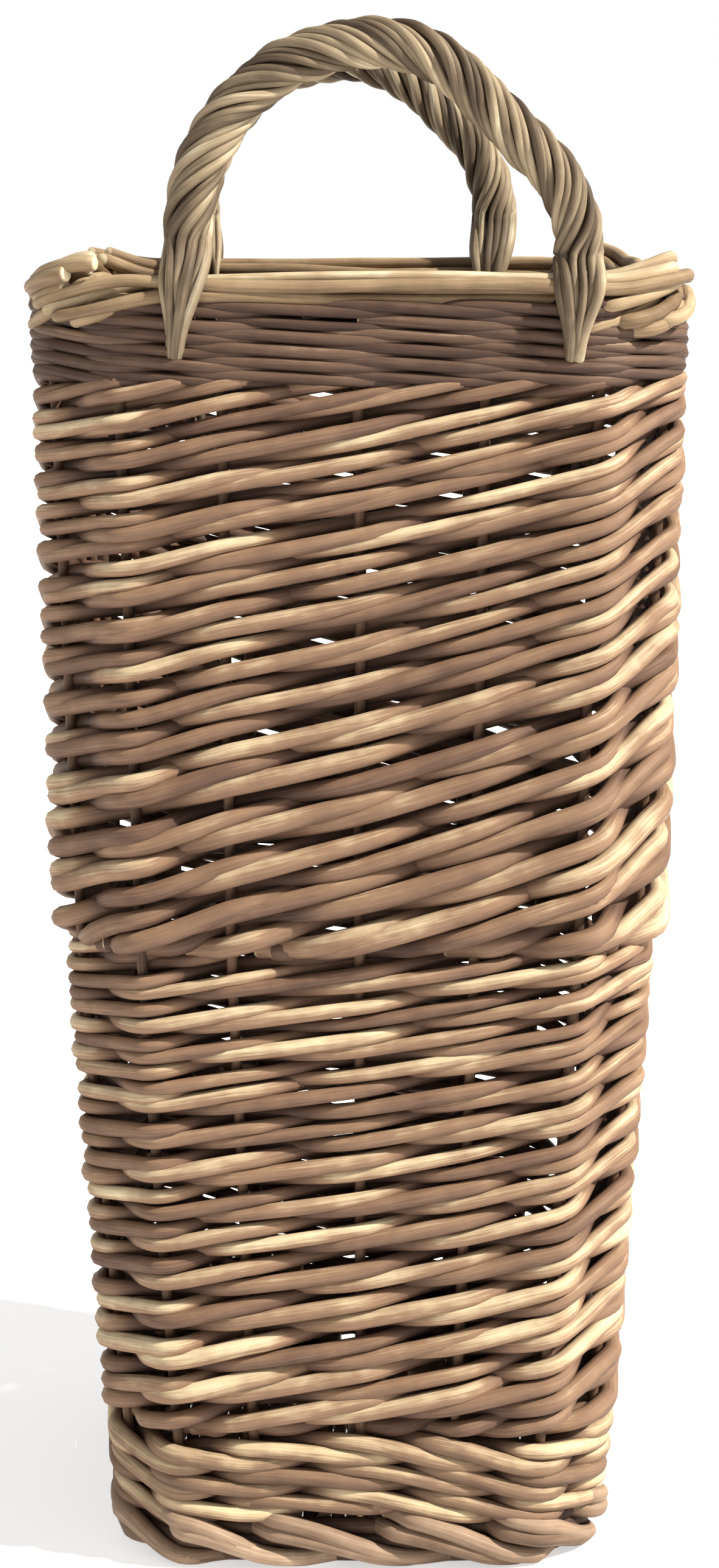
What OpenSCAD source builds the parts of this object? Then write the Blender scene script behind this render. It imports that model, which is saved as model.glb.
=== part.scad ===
// Wicker log basket: a tall square basket that tapers to its foot, woven round
// upright stakes, with a laid border at the rim and two rigid wrapped handles.
// The front faces -Y. The origin is on the floor, under the middle of the basket.

/* [Body] */
// Outer width of the rim across the border, both ways
rim_w = 314; // [240:1:380]
// Outer width of the woven body where its two blocks of siding meet, both ways
waist_w = 292; // [220:1:340]
// Outer width of the woven body at the floor, both ways
base_w = 246; // [190:1:300]
// Height of the rim above the floor
body_h = 640; // [500:1:780]
// How square the plan is: 2 is a circle, a high value is a square
plan_power = 5; // [3:0.5:8]

/* [Stakes] */
// Diameter of the upright stakes
stake_d = 5.4; // [4:0.1:8]
// Front stakes: inboard of the left handle leg
front_stake_left_gap = 10.5; // [8.5:0.5:30]
// Front stakes: inboard of the right handle leg
front_stake_right_gap = 39; // [8.5:0.5:50]
// Back stakes: inboard of each handle leg
back_stake_gap = 12; // [8.5:0.5:30]
// Side stakes: how far they stand either side of the middle at the rim
side_stake_x = 70; // [40:1:90]

/* [Weave] */
// Thickness of the woven wall
wall_t = 18.5; // [14:0.5:26]
// Height of the bottom wale
bottom_wale_h = 42; // [20:1:60]
// Height of the lower block of siding
lower_siding_h = 250; // [150:1:330]
// Height of the top wale
top_wale_h = 24; // [12:1:40]
// How far the thick butts of the upper block stand proud of the block below
butt_step = 3.5; // [0:0.5:8]
// Gap between one block of weave and the next
course_gap = 0.4; // [0.2:0.1:2]
// Gap between the weave and the stakes and handle legs that stand inside it
stake_gap = 0.35; // [0.2:0.05:0.8]

/* [Border] */
// Diameter of the border rods
border_d = 8.4; // [6:0.2:11]
// Rows of rods in the border, one above the other
border_rows = 3; // [2:1:4]
// Gap between neighbouring border rods
border_gap = 0.2; // [0.1:0.1:1]
// Radius of the border's corners, on its middle line
corner_r = 35; // [25:1:60]
// Width of the slot between the outer and the inner border rods
border_slot = 5.6; // [5:0.1:8]

/* [Base and foot] */
// Diameter of the sticks across the base
stick_d = 8; // [6:0.5:10]
// Gap between the base's weave and its sticks
stick_gap = 0.15; // [0.1:0.05:0.5]
// Number of sticks across the base
stick_count = 6; // [4:1:9]
// Thickness of the woven base
base_t = 14.4; // [9.5:0.1:20]
// Diameter of the rods that the basket stands on
foot_d = 13; // [9:0.5:16]
// Depth worn flat on the underside of each standing rod
foot_wear = 1; // [0.5:0.1:2.5]
// Diameter of the rods laid over the standing rods
foot_cover_d = 13.6; // [7:0.2:16]

/* [Handles] */
// Front handle: left leg in from the side of the rim
front_left_inset = 79.5; // [50:0.5:110]
// Front handle: right leg in from the side of the rim
front_right_inset = 57.5; // [50:0.5:110]
// Front handle: straight rise of its shorter side above the rim, before the arch
front_rise = 8; // [5:1:60]
// Front handle: how far its highest point stands right of midway
front_apex_shift = -4; // [-12:0.5:12]
// Front handle: length of the flat in its left and right shoulders
front_flats = [0, 50]; // [0:1:60]
// Back handle: left leg in from the side of the rim, seen from behind
back_left_inset = 84; // [50:0.5:110]
// Back handle: right leg in from the side of the rim, seen from behind
back_right_inset = 70; // [50:0.5:110]
// Back handle: straight rise of its shorter side above the rim, before the arch
back_rise = 25; // [5:1:60]
// Back handle: how far its highest point stands right of midway, seen from behind
back_apex_shift = 0; // [-12:0.5:12]
// Back handle: length of the flat in its left and right shoulders, seen from behind
back_flats = [30, 0]; // [0:1:60]
// Diameter of the bow inside each handle
bow_d = 13.5; // [10:0.5:16]
// Diameter of each bow where it is shaved down to stand among the stakes
leg_d = 5.2; // [4:0.1:6]
// Diameter of each bow at its pointed lower end
leg_tip_d = 4; // [3:0.5:5]
// How deep each leg is pushed into the weave
leg_depth = 110; // [60:1:150]
// Rods wrapped round each bow, half of them ending outside and half inside the rim
wrap_count = 8; // [6:2:10]
// Steepest angle of the wrapping across the bow
wrap_angle = 38; // [20:1:42]
// Gap between neighbouring wrapping rods, and between them and what they pass
wrap_gap = 0.2; // [0.1:0.05:0.6]
// How far the wrapping rods hang below the top of the rim before they are tucked in
tail_drop = 34; // [28:1:60]

/* [Hidden] */

BARE_WILLOW = "peru";
SHADED_WILLOW = "sienna";
PALE_WILLOW = "burlywood";
GREY_WILLOW = "darkkhaki";

$fn = 40;
plan_points = 72;   // corners of each woven block's outline, with one at each corner stake
corner_spread = 360 / plan_points;   // angle from the diagonal to a corner stake
wrap_sides = 6;     // flats round a wrapping rod
stake_sides = 16;   // flats round a stake
turn_points = 14;   // rings of points in one turn of a wrapping rod
bow_sides = 16;     // flats round a bow
bow_points = 32;    // steps along a bow's arch
SIDES = [0, 90, 180, 270];   // turns of the front, right, back and left about the middle

// The stakes stand on the middle line of the wall.
border_reach = border_slot / 2 + border_d;
line_top = rim_w / 2 - border_reach;
line_waist = waist_w / 2 - wall_t / 2;
line_base = base_w / 2 - wall_t / 2;

foot_z = foot_d / 2 - foot_wear;
base_z = foot_d - foot_wear + course_gap;
cover_z = base_z + base_t / 2;
wale_z = base_z + base_t + course_gap;
lower_z = wale_z + bottom_wale_h + course_gap;
waist_z = lower_z + lower_siding_h + course_gap / 2;
upper_z = waist_z + course_gap / 2;
border_h = border_rows * (border_d + border_gap);
top_wale_z = body_h - border_h - top_wale_h - course_gap;
lean = atan((line_top - line_waist) / (body_h - waist_z));

// Half-width of the wall's middle line at height z: the wall bends at its waist
function line_at(z) = z < waist_z
    ? line_base + (line_waist - line_base) * z / waist_z
    : line_waist + (line_top - line_waist) * (z - waist_z) / (body_h - waist_z);

// Distance from the middle to the plan's edge in direction t, for a half-width of 1
function plan_reach(t) =
    pow(pow(abs(cos(t)), plan_power) + pow(abs(sin(t)), plan_power), -1 / plan_power);

// The same edge, by its distance x from the middle of a side
function plan_depth(x) = pow(1 - pow(abs(x), plan_power), 1 / plan_power);

function outline(half_w) = [
    for (i = [0:plan_points - 1])
        let (t = i * 360 / plan_points)
        half_w * plan_reach(t) * [cos(t), sin(t)]
];

// Places along the rim, in each side's own frame: x runs to the right as seen from outside.
front_left_x = -(rim_w / 2 - front_left_inset);
front_right_x = rim_w / 2 - front_right_inset;
back_left_x = -(rim_w / 2 - back_left_inset);
back_right_x = rim_w / 2 - back_right_inset;
front_stakes_x = [front_left_x + front_stake_left_gap, 0, front_right_x - front_stake_right_gap];
back_stakes_x = [back_left_x + back_stake_gap, 0, back_right_x - back_stake_gap];
side_stakes_x = [-side_stake_x, 0, side_stake_x];

// A stake's place as a share of the half-width: it keeps this share as the wall leans out.
function stake_places(xs) = [for (x = xs) [x / line_top, -plan_depth(x / line_top)]];

// Each corner has a pair of stakes, one a little to each side of the diagonal.
corner_places = [
    for (t = [45 - corner_spread, 45 + corner_spread]) plan_reach(t) * [cos(t), -sin(t)]
];

stake_top_z = body_h - border_h - course_gap;

// Wrapping: the rods lie side by side on the bow, so their size follows from their number.
wrap_share = PI * cos(wrap_angle) / wrap_count;
wrap_d = (2 * wrap_share * (bow_d / 2 + wrap_gap) - wrap_gap) / (1 - wrap_share);
wrap_r = bow_d / 2 + wrap_gap + wrap_d / 2;
wrap_pitch = wrap_d + wrap_gap;

// Each half of a bow is two arcs of an eighth of a circle with a flat between them.
function bend_r(span, flat) = span - flat * cos(45);
function half_length(span, flat) = bend_r(span, flat) * PI / 2 + flat;

// Point of a half bow at a distance from its highest point: [x, z, direction it faces]
function half_at(dist, span, flat) =
    let (
        r = bend_r(span, flat),
        first = r * PI / 4,
        on_flat = min(max(dist - first, 0), flat),
        facing = 90 - (dist - on_flat) / r * 180 / PI
    )
    [r * cos(facing) + on_flat * cos(45), r * sin(facing) - r - on_flat * sin(45), facing];

// A handle's shape: [half the distance between its legs, apex height, apex shift, flats]. Each
// side of an arch is as high as it is wide, so the wider side sets the apex.
function handle_shape(left_x, right_x, rise, shift, flats) =
    let (half = (right_x - left_x) / 2)
    [half, half + abs(shift) + rise, shift, flats];
front_shape =
    handle_shape(front_left_x, front_right_x, front_rise, front_apex_shift, front_flats);
back_shape = handle_shape(back_left_x, back_right_x, back_rise, back_apex_shift, back_flats);
function left_span(shape) = shape[0] + shape[2];
function right_span(shape) = shape[0] - shape[2];
function left_length(shape) = half_length(left_span(shape), shape[3][0]);
function bow_length(shape) = left_length(shape) + half_length(right_span(shape), shape[3][1]);

// Point of a whole bow at a distance from its left leg: [x, z, direction it faces]
function bow_at(shape, dist) =
    let (
        past = dist - left_length(shape),
        right = half_at(past, right_span(shape), shape[3][1]),
        left = half_at(-past, left_span(shape), shape[3][0])
    )
    past < 0
        ? [shape[2] - left[0], shape[1] + left[1], 180 - left[2]]
        : [shape[2] + right[0], shape[1] + right[1], right[2]];

// The wrapping makes as many whole turns as fit at the angle, inside the tightest bend
function whole_turns(shape) =
    let (
        r = min(bend_r(left_span(shape), shape[3][0]), bend_r(right_span(shape), shape[3][1]))
    )
    max(1, floor(tan(wrap_angle) * bow_length(shape) * (r - wrap_r) / (r * 2 * PI * wrap_r)));

// ---- Shared shapes ----

// A closed woven ring between two heights, with inner and outer half-widths at each
module woven_ring(z0, z1, out0, out1, in0, in1) {
    n = plan_points;
    loops = [
        for (p = outline(out0)) [p.x, p.y, z0], for (p = outline(out1)) [p.x, p.y, z1],
        for (p = outline(in1)) [p.x, p.y, z1], for (p = outline(in0)) [p.x, p.y, z0]
    ];
    polyhedron(points = loops, faces = [
        for (loop = [0:3], i = [0:n - 1])
            let (a = loop * n, b = (loop + 1) % 4 * n, j = (i + 1) % n)
            [a + i, b + i, b + j, a + j]
    ]);
}

// A straight rod between two points
module rod(from, to, d, d_end) {
    v = to - from;
    translate(from)
        rotate([0, acos(v.z / norm(v)), atan2(v.y, v.x)])
            cylinder(h = norm(v), d1 = d, d2 = is_undef(d_end) ? d : d_end);
}

// Frame of one side of the rim: origin at the rim on the wall's middle line, leaning with it
module rim_frame(turn) {
    rotate([0, 0, turn]) translate([0, -line_top, body_h]) rotate([lean, 0, 0]) children();
}

// ---- Foot and base ----

module foot_rods(turn) {
    half = line_base * 0.76;
    color(PALE_WILLOW) rotate([0, 0, turn]) {
        intersection() {
            translate([-half, -line_at(foot_z), foot_z]) rotate([0, 90, 0])
                cylinder(h = 2 * half, d = foot_d);
            translate([-half - 1, -rim_w, 0]) cube([2 * half + 2, 2 * rim_w, foot_d]);
        }
        translate([-half, -line_at(cover_z) - wall_t / 2 + 1, cover_z]) rotate([0, 90, 0])
            cylinder(h = 2 * half, d = foot_cover_d);
    }
}

module foot_front() { foot_rods(0); }
module foot_right() { foot_rods(90); }
module foot_back() { foot_rods(180); }
module foot_left() { foot_rods(270); }

module base_stick_row(d, spare) {
    reach = line_at(base_z) * plan_depth(0.9);
    span = 2 * line_at(base_z) * 0.72;
    for (i = [0:stick_count - 1])
        translate([-reach - spare, -span / 2 + i * span / (stick_count - 1), base_z + base_t / 2])
            rotate([0, 90, 0]) cylinder(h = 2 * (reach + spare), d = d);
}

module base_sticks() {
    color(PALE_WILLOW) base_stick_row(stick_d, 0);
}

module base_weave() {
    half = line_at(base_z) - course_gap;
    color(SHADED_WILLOW) difference() {
        translate([0, 0, base_z]) linear_extrude(base_t) polygon(outline(half));
        base_stick_row(stick_d + 2 * stick_gap, course_gap);
    }
}

// ---- Stakes ----

// Each stake is one rod with a slight bend at the waist
module whole_stake(place) {
    tube([for (z = [wale_z, waist_z, stake_top_z]) [place.x * line_at(z), place.y * line_at(z), z]],
        stake_d, stake_sides);
}

module corner_stakes() {
    color(BARE_WILLOW)
        for (turn = SIDES, place = corner_places) rotate([0, 0, turn]) whole_stake(place);
}

module side_stakes(xs, turn) {
    color(BARE_WILLOW) rotate([0, 0, turn]) for (p = stake_places(xs)) whole_stake(p);
}

module front_stakes() { side_stakes(front_stakes_x, 0); }
module right_stakes() { side_stakes(side_stakes_x, 90); }
module back_stakes() { side_stakes(back_stakes_x, 180); }
module left_stakes() { side_stakes(side_stakes_x, 270); }

// ---- Woven blocks ----

// The rods in front of the stakes and the rods behind them, as two rings with the stakes between
module woven_block(z0, z1, proud, tint) {
    half_t = wall_t / 2;
    slot = stake_d / 2 + stake_gap;
    color(tint) {
        woven_ring(z0, z1,
            line_at(z0) + half_t + proud, line_at(z1) + half_t,
            line_at(z0) + slot, line_at(z1) + slot);
        woven_ring(z0, z1,
            line_at(z0) - slot, line_at(z1) - slot,
            line_at(z0) - half_t, line_at(z1) - half_t);
    }
}

module bottom_wale() { woven_block(wale_z, wale_z + bottom_wale_h, 0, BARE_WILLOW); }

module lower_siding() { woven_block(lower_z, lower_z + lower_siding_h, 0, SHADED_WILLOW); }

module upper_siding() {
    woven_block(upper_z, top_wale_z - course_gap, butt_step, BARE_WILLOW);
}

module top_wale() { woven_block(top_wale_z, top_wale_z + top_wale_h, 0, SHADED_WILLOW); }

// ---- Border ----

// One side of the border: its rods run along the side, bend round the corner on the right
// and end where the next side's rods begin
module border_side(turn) {
    pitch = border_d + border_gap;
    straight = line_top - corner_r;
    color(PALE_WILLOW) difference() {
        rotate([0, 0, turn])
            for (row = [0:border_rows - 1], out = [-1, 1])
                translate([0, 0, body_h - pitch * (row + 0.5)]) {
                    shift = out * (border_slot + border_d) / 2;
                    translate([-straight + border_gap, -line_top - shift, 0]) rotate([0, 90, 0])
                        cylinder(h = 2 * straight - border_gap, d = border_d);
                    translate([straight, -straight, 0]) rotate([0, 0, -90])
                        rotate_extrude(angle = 90) translate([corner_r + shift, 0])
                            circle(d = border_d);
                }
        leg_notches();
    }
}

module border_front() { border_side(0); }
module border_right() { border_side(90); }
module border_back() { border_side(180); }
module border_left() { border_side(270); }

// ---- Handles ----
// In a handle's frame the arch stands in the XZ plane, midway between its legs.

// A handle's leg stands where the wall's middle line is, a little inside the border's line.
module handle_frame(turn, left_x, right_x) {
    reach = max(abs(left_x), abs(right_x)) / line_top;
    rim_frame(turn)
        translate([(left_x + right_x) / 2, line_top * (1 - plan_depth(reach)), 0]) children();
}

module front_frame() { handle_frame(0, front_left_x, front_right_x) children(); }
module back_frame() { handle_frame(180, back_left_x, back_right_x) children(); }

// The notches in the border's rods where a handle's legs pass down between them
module leg_notches() {
    d = leg_d + 2 * stake_gap;
    front_frame() for (side = [-1, 1])
        rod([side * front_shape[0], 0, 1], [side * front_shape[0], 0, -border_h - 1], d);
    back_frame() for (side = [-1, 1])
        rod([side * back_shape[0], 0, 1], [side * back_shape[0], 0, -border_h - 1], d);
}

// A bow's middle line with its two legs, from the tip of one leg to the tip of the other
function bow_path(shape) =
    let (x = shape[0])
    concat(
        [[-x, 0, -leg_depth], [-x, 0, 0]],
        [
            for (i = [0:bow_points])
                let (p = bow_at(shape, i / bow_points * bow_length(shape)))
                [p[0], 0, p[1]]
        ],
        [[x, 0, 0], [x, 0, -leg_depth]]
    );

// The bow is thick in its arch and shaved to slim, pointed legs
module bow(shape) {
    color(GREY_WILLOW)
        tube(bow_path(shape),
            [leg_tip_d, leg_d, for (i = [0:bow_points]) bow_d, leg_d, leg_tip_d], bow_sides);
}

// Point of wrapping rod k at share s of the way along the bow, from its left end to its right
function wrap_point(shape, k, s) =
    let (
        p = bow_at(shape, s * bow_length(shape)),
        phi = (k + 0.5) * 360 / wrap_count + 360 * whole_turns(shape) * s
    )
    [
        p[0] - wrap_r * cos(phi) * cos(p[2]),
        wrap_r * sin(phi),
        p[1] - wrap_r * cos(phi) * sin(p[2])
    ];

// The end of wrapping rod k at the leg on side x_sign. It spreads into a fan, passes over the
// border on its own side, outside or inside, and hangs down to where it is tucked in.
function wrap_tail(r, k, x_sign) =
    let (
        phi = (k + 0.5) * 360 / wrap_count,
        way = sin(phi) > 0 ? 1 : -1,
        along = asin(abs(sin(phi))) / (360 / wrap_count) + 0.5,
        column = round(along * 10) / 10,
        rods = wrap_count / 2,
        order = cos(phi) > 0 ? rods / 2 - column + 0.5 : -(rods / 2 - column + 0.5),
        x = x_sign * (r - order * wrap_pitch),
        rod_y = way * (border_slot + border_d) / 2,
        rod_z = -border_d / 2 - border_gap / 2,
        hug = border_d / 2 + wrap_d / 2 + 2 * wrap_gap,
        bottom_z = -tail_drop
    )
    [
        [x, rod_y + way * (hug - wrap_d / 2), bottom_z],
        [x, rod_y + way * hug, bottom_z + wrap_d],
        [x, rod_y + way * hug, (bottom_z + rod_z) / 2],
        for (a = [0, 30, 60, 85]) [x, rod_y + way * hug * cos(a), rod_z + hug * sin(a)]
    ];

function reversed(list) = [for (i = [len(list) - 1:-1:0]) list[i]];

function wrap_path(shape, k) = concat(
    wrap_tail(shape[0], k, -1),
    [
        for (i = [0:whole_turns(shape) * turn_points])
            wrap_point(shape, k, i / (whole_turns(shape) * turn_points))
    ],
    reversed(wrap_tail(shape[0], k, 1))
);

function unit(v) = v / norm(v);
function tangent(path, i) =
    unit(path[min(i + 1, len(path) - 1)] - path[max(i - 1, 0)]);
function square_to(v, t) = unit(v - (v * t) * t);

// A tube along a path, with one diameter or one for each point of the path. Each ring of
// points carries the last ring's direction forward.
module tube(path, d, sides) {
    last = len(path) - 1;
    normals = [
        for (i = 0, n = square_to([1, 0, 0], tangent(path, 0)); i <= last;
             i = i + 1, n = i <= last ? square_to(n, tangent(path, i)) : n) n
    ];
    rings = [
        for (i = [0:last], s = [0:sides - 1])
            let (n = normals[i], b = cross(tangent(path, i), n), a = s * 360 / sides)
            path[i] + (is_list(d) ? d[i] : d) / 2 * (cos(a) * n + sin(a) * b)
    ];
    polyhedron(points = rings, faces = [
        [for (s = [0:sides - 1]) s],
        for (i = [0:last - 1], s = [0:sides - 1])
            let (a = i * sides, b = a + sides, t = (s + 1) % sides)
            [a + s, b + s, b + t, a + t],
        [for (s = [sides - 1:-1:0]) last * sides + s]
    ]);
}

// The wrapping rods of one handle that end outside the rim (way -1) or inside it (way 1)
module wrap(shape, way) {
    color(GREY_WILLOW)
        for (k = [0:wrap_count - 1])
            if (sin((k + 0.5) * 360 / wrap_count) * way > 0)
                tube(wrap_path(shape, k), wrap_d, wrap_sides);
}

module front_handle_bow() { front_frame() bow(front_shape); }
module front_handle_outer_wrap() { front_frame() wrap(front_shape, -1); }
module front_handle_inner_wrap() { front_frame() wrap(front_shape, 1); }
module back_handle_bow() { back_frame() bow(back_shape); }
module back_handle_outer_wrap() { back_frame() wrap(back_shape, -1); }
module back_handle_inner_wrap() { back_frame() wrap(back_shape, 1); }

foot_front();
foot_right();
foot_back();
foot_left();
base_sticks();
base_weave();
corner_stakes();
front_stakes();
right_stakes();
back_stakes();
left_stakes();
bottom_wale();
lower_siding();
upper_siding();
top_wale();
border_front();
border_right();
border_back();
border_left();
front_handle_bow();
front_handle_outer_wrap();
front_handle_inner_wrap();
back_handle_bow();
back_handle_outer_wrap();
back_handle_inner_wrap();
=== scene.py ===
"""Wicker log basket: every rod of the weave, border, foot and handles round the fixed frame."""

import logging
import math
from dataclasses import dataclass, field, replace
from enum import Enum
from typing import Any

import bpy
import numpy as np
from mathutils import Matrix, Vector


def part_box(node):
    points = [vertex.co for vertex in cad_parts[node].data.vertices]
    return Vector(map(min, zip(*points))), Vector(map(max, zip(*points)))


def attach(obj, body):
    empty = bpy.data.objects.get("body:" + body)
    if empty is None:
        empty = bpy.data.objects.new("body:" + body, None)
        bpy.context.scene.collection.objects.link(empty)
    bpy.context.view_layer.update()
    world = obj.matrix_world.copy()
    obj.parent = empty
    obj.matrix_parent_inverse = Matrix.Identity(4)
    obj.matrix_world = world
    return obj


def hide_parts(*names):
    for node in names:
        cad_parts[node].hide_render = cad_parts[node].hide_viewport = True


LOG = logging.getLogger("log_basket")
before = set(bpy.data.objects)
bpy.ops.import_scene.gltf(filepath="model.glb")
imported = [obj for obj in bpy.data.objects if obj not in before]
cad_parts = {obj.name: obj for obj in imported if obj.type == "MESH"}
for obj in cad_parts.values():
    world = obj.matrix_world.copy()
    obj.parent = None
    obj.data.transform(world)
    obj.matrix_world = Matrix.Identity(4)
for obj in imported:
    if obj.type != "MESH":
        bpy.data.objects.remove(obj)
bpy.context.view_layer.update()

MM = 0.001
BODY = "root"
SEED = 41
STAKES = 20
SIDE_STAKES = 5
# A rod passes in front of two stakes and behind one, and then starts again
STROKE = 3.0
# A painted highlight lies on a rod's outer side above its middle, this far round from straight out,
# where the light from above falls
UPPER_EDGE = math.radians(55.0)
# Share of the painted highlight that reaches a rod's other side, the one in shade
SHADED_SIDE_HIGHLIGHT = 0.3
# How far a rod's tone moves its grain, in millimetres, so that no two rods look alike
GRAIN_JUMP = 971.0
Array = np.ndarray


# ---- shared shapes


def placed(name: str, data: Any) -> bpy.types.Object:
    """Returns a new object in the scene that holds the data."""
    made = bpy.data.objects.new(name, data)
    bpy.context.scene.collection.objects.link(made)
    return made


def smooth(x: Array) -> Array:
    """Returns the smooth step of x: 0 below 0, 1 above 1, and 3x^2 - 2x^3 between."""
    t = np.clip(x, 0.0, 1.0)
    return t * t * (3.0 - 2.0 * t)


def lerp(a: Any, b: Any, t: Any) -> Any:
    """Returns the value a share t of the way from a to b."""
    return a + (b - a) * t


def slow_noise(rng: np.random.Generator, at: Array, knot: float) -> Array:
    """Smooth random waviness along each of several rods.

    Each rod gets its own random values at knots a fixed distance apart, joined by smooth steps.

    Args:
        rng: The source of the random values.
        at: Position along each rod, rods down and points across.
        knot: Distance between knots, in the units of at.

    Returns:
        Values between about -1 and 1, of the same shape as at.
    """
    steps = (at - at.min()) / knot
    count = int(steps.max()) + 3
    values = rng.uniform(-1.0, 1.0, (len(at), count))
    low = np.floor(steps).astype(int)
    row = np.arange(len(at))[:, None]
    return lerp(values[row, low], values[row, low + 1], smooth(steps - low))


def uneven(
    rng: np.random.Generator, at: Array, spread: tuple[float, float], ripple: float, knot: float
) -> Array:
    """Returns rods' thickness over their nominal one, as no two grow alike.

    Args:
        rng: The source of the random values.
        at: Position along each rod, rods down and points across.
        spread: The thinnest and the thickest rod.
        ripple: How much one rod swells and shrinks along its length.
        knot: Distance from one swelling to the next, in the units of at.

    Returns:
        Factors of the same shape as at.
    """
    whole = rng.uniform(*spread, (len(at), 1))
    return whole * (1.0 + ripple * slow_noise(rng, at, knot))


@dataclass
class Plan:
    """The basket's outline from above, walked anticlockwise from the front left corner.

    It is a square with its corners cut off and every edge softened:
    |x|^n + |y|^n + ((|x| + |y|) / c)^n = 1. Places round it are shares of its whole length, so
    each side is exactly one quarter.
    """

    power: float
    corner: float
    samples: int = 4096
    share: Array = field(init=False)
    place: Array = field(init=False)
    outward: Array = field(init=False)

    def __post_init__(self) -> None:
        """Tabulates the curve's points and its outward normals, its gradient's direction."""
        angle = np.linspace(1.25 * math.pi, 3.25 * math.pi, self.samples + 1)
        c, s = np.cos(angle), np.sin(angle)
        n = self.power
        total = abs(c) ** n + abs(s) ** n + ((abs(c) + abs(s)) / self.corner) ** n
        self.place = np.stack([c, s], axis=1) * total[:, None] ** (-1.0 / n)
        step = np.linalg.norm(np.diff(self.place, axis=0), axis=1)
        self.share = np.concatenate([[0.0], np.cumsum(step)]) / step.sum()
        cross = (abs(self.place).sum(axis=1, keepdims=True) / self.corner) ** (n - 1.0)
        slope = np.sign(self.place) * (abs(self.place) ** (n - 1.0) + cross / self.corner)
        self.outward = slope / np.linalg.norm(slope, axis=1, keepdims=True)

    def at(self, share: Array) -> tuple[Array, Array]:
        """Returns the points and outward normals at shares of the way round."""
        turn = np.mod(share, 1.0)
        pick = [np.interp(turn, self.share, column) for column in (*self.place.T, *self.outward.T)]
        return np.stack(pick[:2], axis=-1), np.stack(pick[2:], axis=-1)

    def share_of(self, side: int, across: float) -> float:
        """Returns the share at a place on a side, from its x as seen from outside."""
        quarter = self.share <= 0.25
        return 0.25 * side + float(np.interp(across, self.place[quarter, 0], self.share[quarter]))


@dataclass
class Tubes:
    """A bundle of round rods, each a circle carried along a path.

    centres holds rods down and points across, in millimetres. The circle at a point lies in
    the plane of the guide direction, squared to the path, and of their cross product.
    """

    centres: Array
    radius: Array
    guide: Array
    tone: Array
    # Painted light along each rod: 0 is painted shade, 1 a full painted highlight
    painted_light: Array
    sides: int = 9
    # How far a rod's rounded ends stick out, and how wide they are cut, over its radius
    end_length: float = 0.3
    end_size: float = 0.72

    def rings(self) -> tuple[Array, Array, Array, Array]:
        """Works out the rings of points: c + r (n cos a + b sin a).

        Returns:
            The points, each ring's distance along its rod, the angles and the radii.
        """
        c = self.centres
        along = np.gradient(c, axis=1)
        along /= np.linalg.norm(along, axis=2, keepdims=True)
        start = c[:, :1] - along[:, :1] * self.radius[:, :1, None] * self.end_length
        end = c[:, -1:] + along[:, -1:] * self.radius[:, -1:, None] * self.end_length
        c = np.concatenate([start, c, end], axis=1)
        along = np.concatenate([along[:, :1], along, along[:, -1:]], axis=1)
        edge = self.radius[:, [0, -1]] * self.end_size
        r = np.concatenate([edge[:, :1], self.radius, edge[:, 1:]], axis=1)
        g = np.concatenate([self.guide[:, :1], self.guide, self.guide[:, -1:]], axis=1)
        n = g - along * np.sum(g * along, axis=2, keepdims=True)
        n /= np.linalg.norm(n, axis=2, keepdims=True)
        b = np.cross(along, n)
        a = np.arange(self.sides) * 2.0 * math.pi / self.sides
        spoke = n[:, :, None] * np.cos(a)[:, None] + b[:, :, None] * np.sin(a)[:, None]
        points = c[:, :, None] + spoke * r[:, :, None, None]
        run = np.linalg.norm(np.diff(c, axis=1), axis=2)
        length = np.concatenate([np.zeros((len(c), 1)), np.cumsum(run, axis=1)], axis=1)
        return points, length, a, r

    def mesh(self, name: str) -> bpy.types.Object:
        """Makes the rods one mesh object, with what the willow's bark and its painted light and
        shade need as attributes.

        Args:
            name: The piece's name.

        Returns:
            The new object, at the origin.
        """
        points, length, a, r = self.rings()
        rods, count, sides = points.shape[:3]
        index = np.arange(rods * count * sides).reshape(rods, count, sides)
        after = np.roll(index, -1, axis=2)
        skin = np.stack([index[:, :-1], after[:, :-1], after[:, 1:], index[:, 1:]], axis=-1)
        faces = skin.reshape(-1, 4).tolist()
        faces += index[:, 0, ::-1].tolist() + index[:, -1].tolist()
        data = bpy.data.meshes.new(name)
        data.from_pydata((points.reshape(-1, 3) * MM).tolist(), [], faces)
        data.polygons.foreach_set("use_smooth", np.ones(len(faces), dtype=bool))
        shape = (rods, count, sides)
        ends = np.zeros(shape)
        ends[:, [0, -1]] = 1.0
        pad = np.concatenate([self.painted_light[:, :1], self.painted_light, self.painted_light[:, -1:]], axis=1)
        # The painted light, made strongest on each rod's upper outer edge as a painted highlight
        # and weaker on its shaded side
        facing = (0.5 + 0.5 * np.cos(a + UPPER_EDGE)) ** 2
        attributes = {
            "tone": np.broadcast_to(self.tone[:, None, None], shape),
            "cut": ends,
            "painted_light": pad[:, :, None] * lerp(SHADED_SIDE_HIGHLIGHT, 1.0, facing),
        }
        for label, values in attributes.items():
            layer = data.attributes.new(label, "FLOAT", "POINT")
            layer.data.foreach_set("value", np.ascontiguousarray(values, dtype=np.float32).ravel())
        grain = np.empty((*shape, 3))
        grain[..., 0] = np.cos(a) * r[:, :, None] + self.tone[:, None, None] * GRAIN_JUMP
        grain[..., 1] = np.sin(a) * r[:, :, None]
        grain[..., 2] = length[:, :, None]
        layer = data.attributes.new("grain", "FLOAT_VECTOR", "POINT")
        layer.data.foreach_set("vector", grain.astype(np.float32).ravel() * MM)
        data.update()
        return placed(name, data)

    def split(self, parts: int) -> list["Tubes"]:
        """Returns the same rods as several smaller bundles, so that no piece grows too heavy."""
        names = ("centres", "radius", "guide", "tone", "painted_light")
        groups = np.array_split(np.arange(len(self.centres)), parts)
        return [replace(self, **{name: getattr(self, name)[g] for name in names})
                for g in groups if len(g)]


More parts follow.
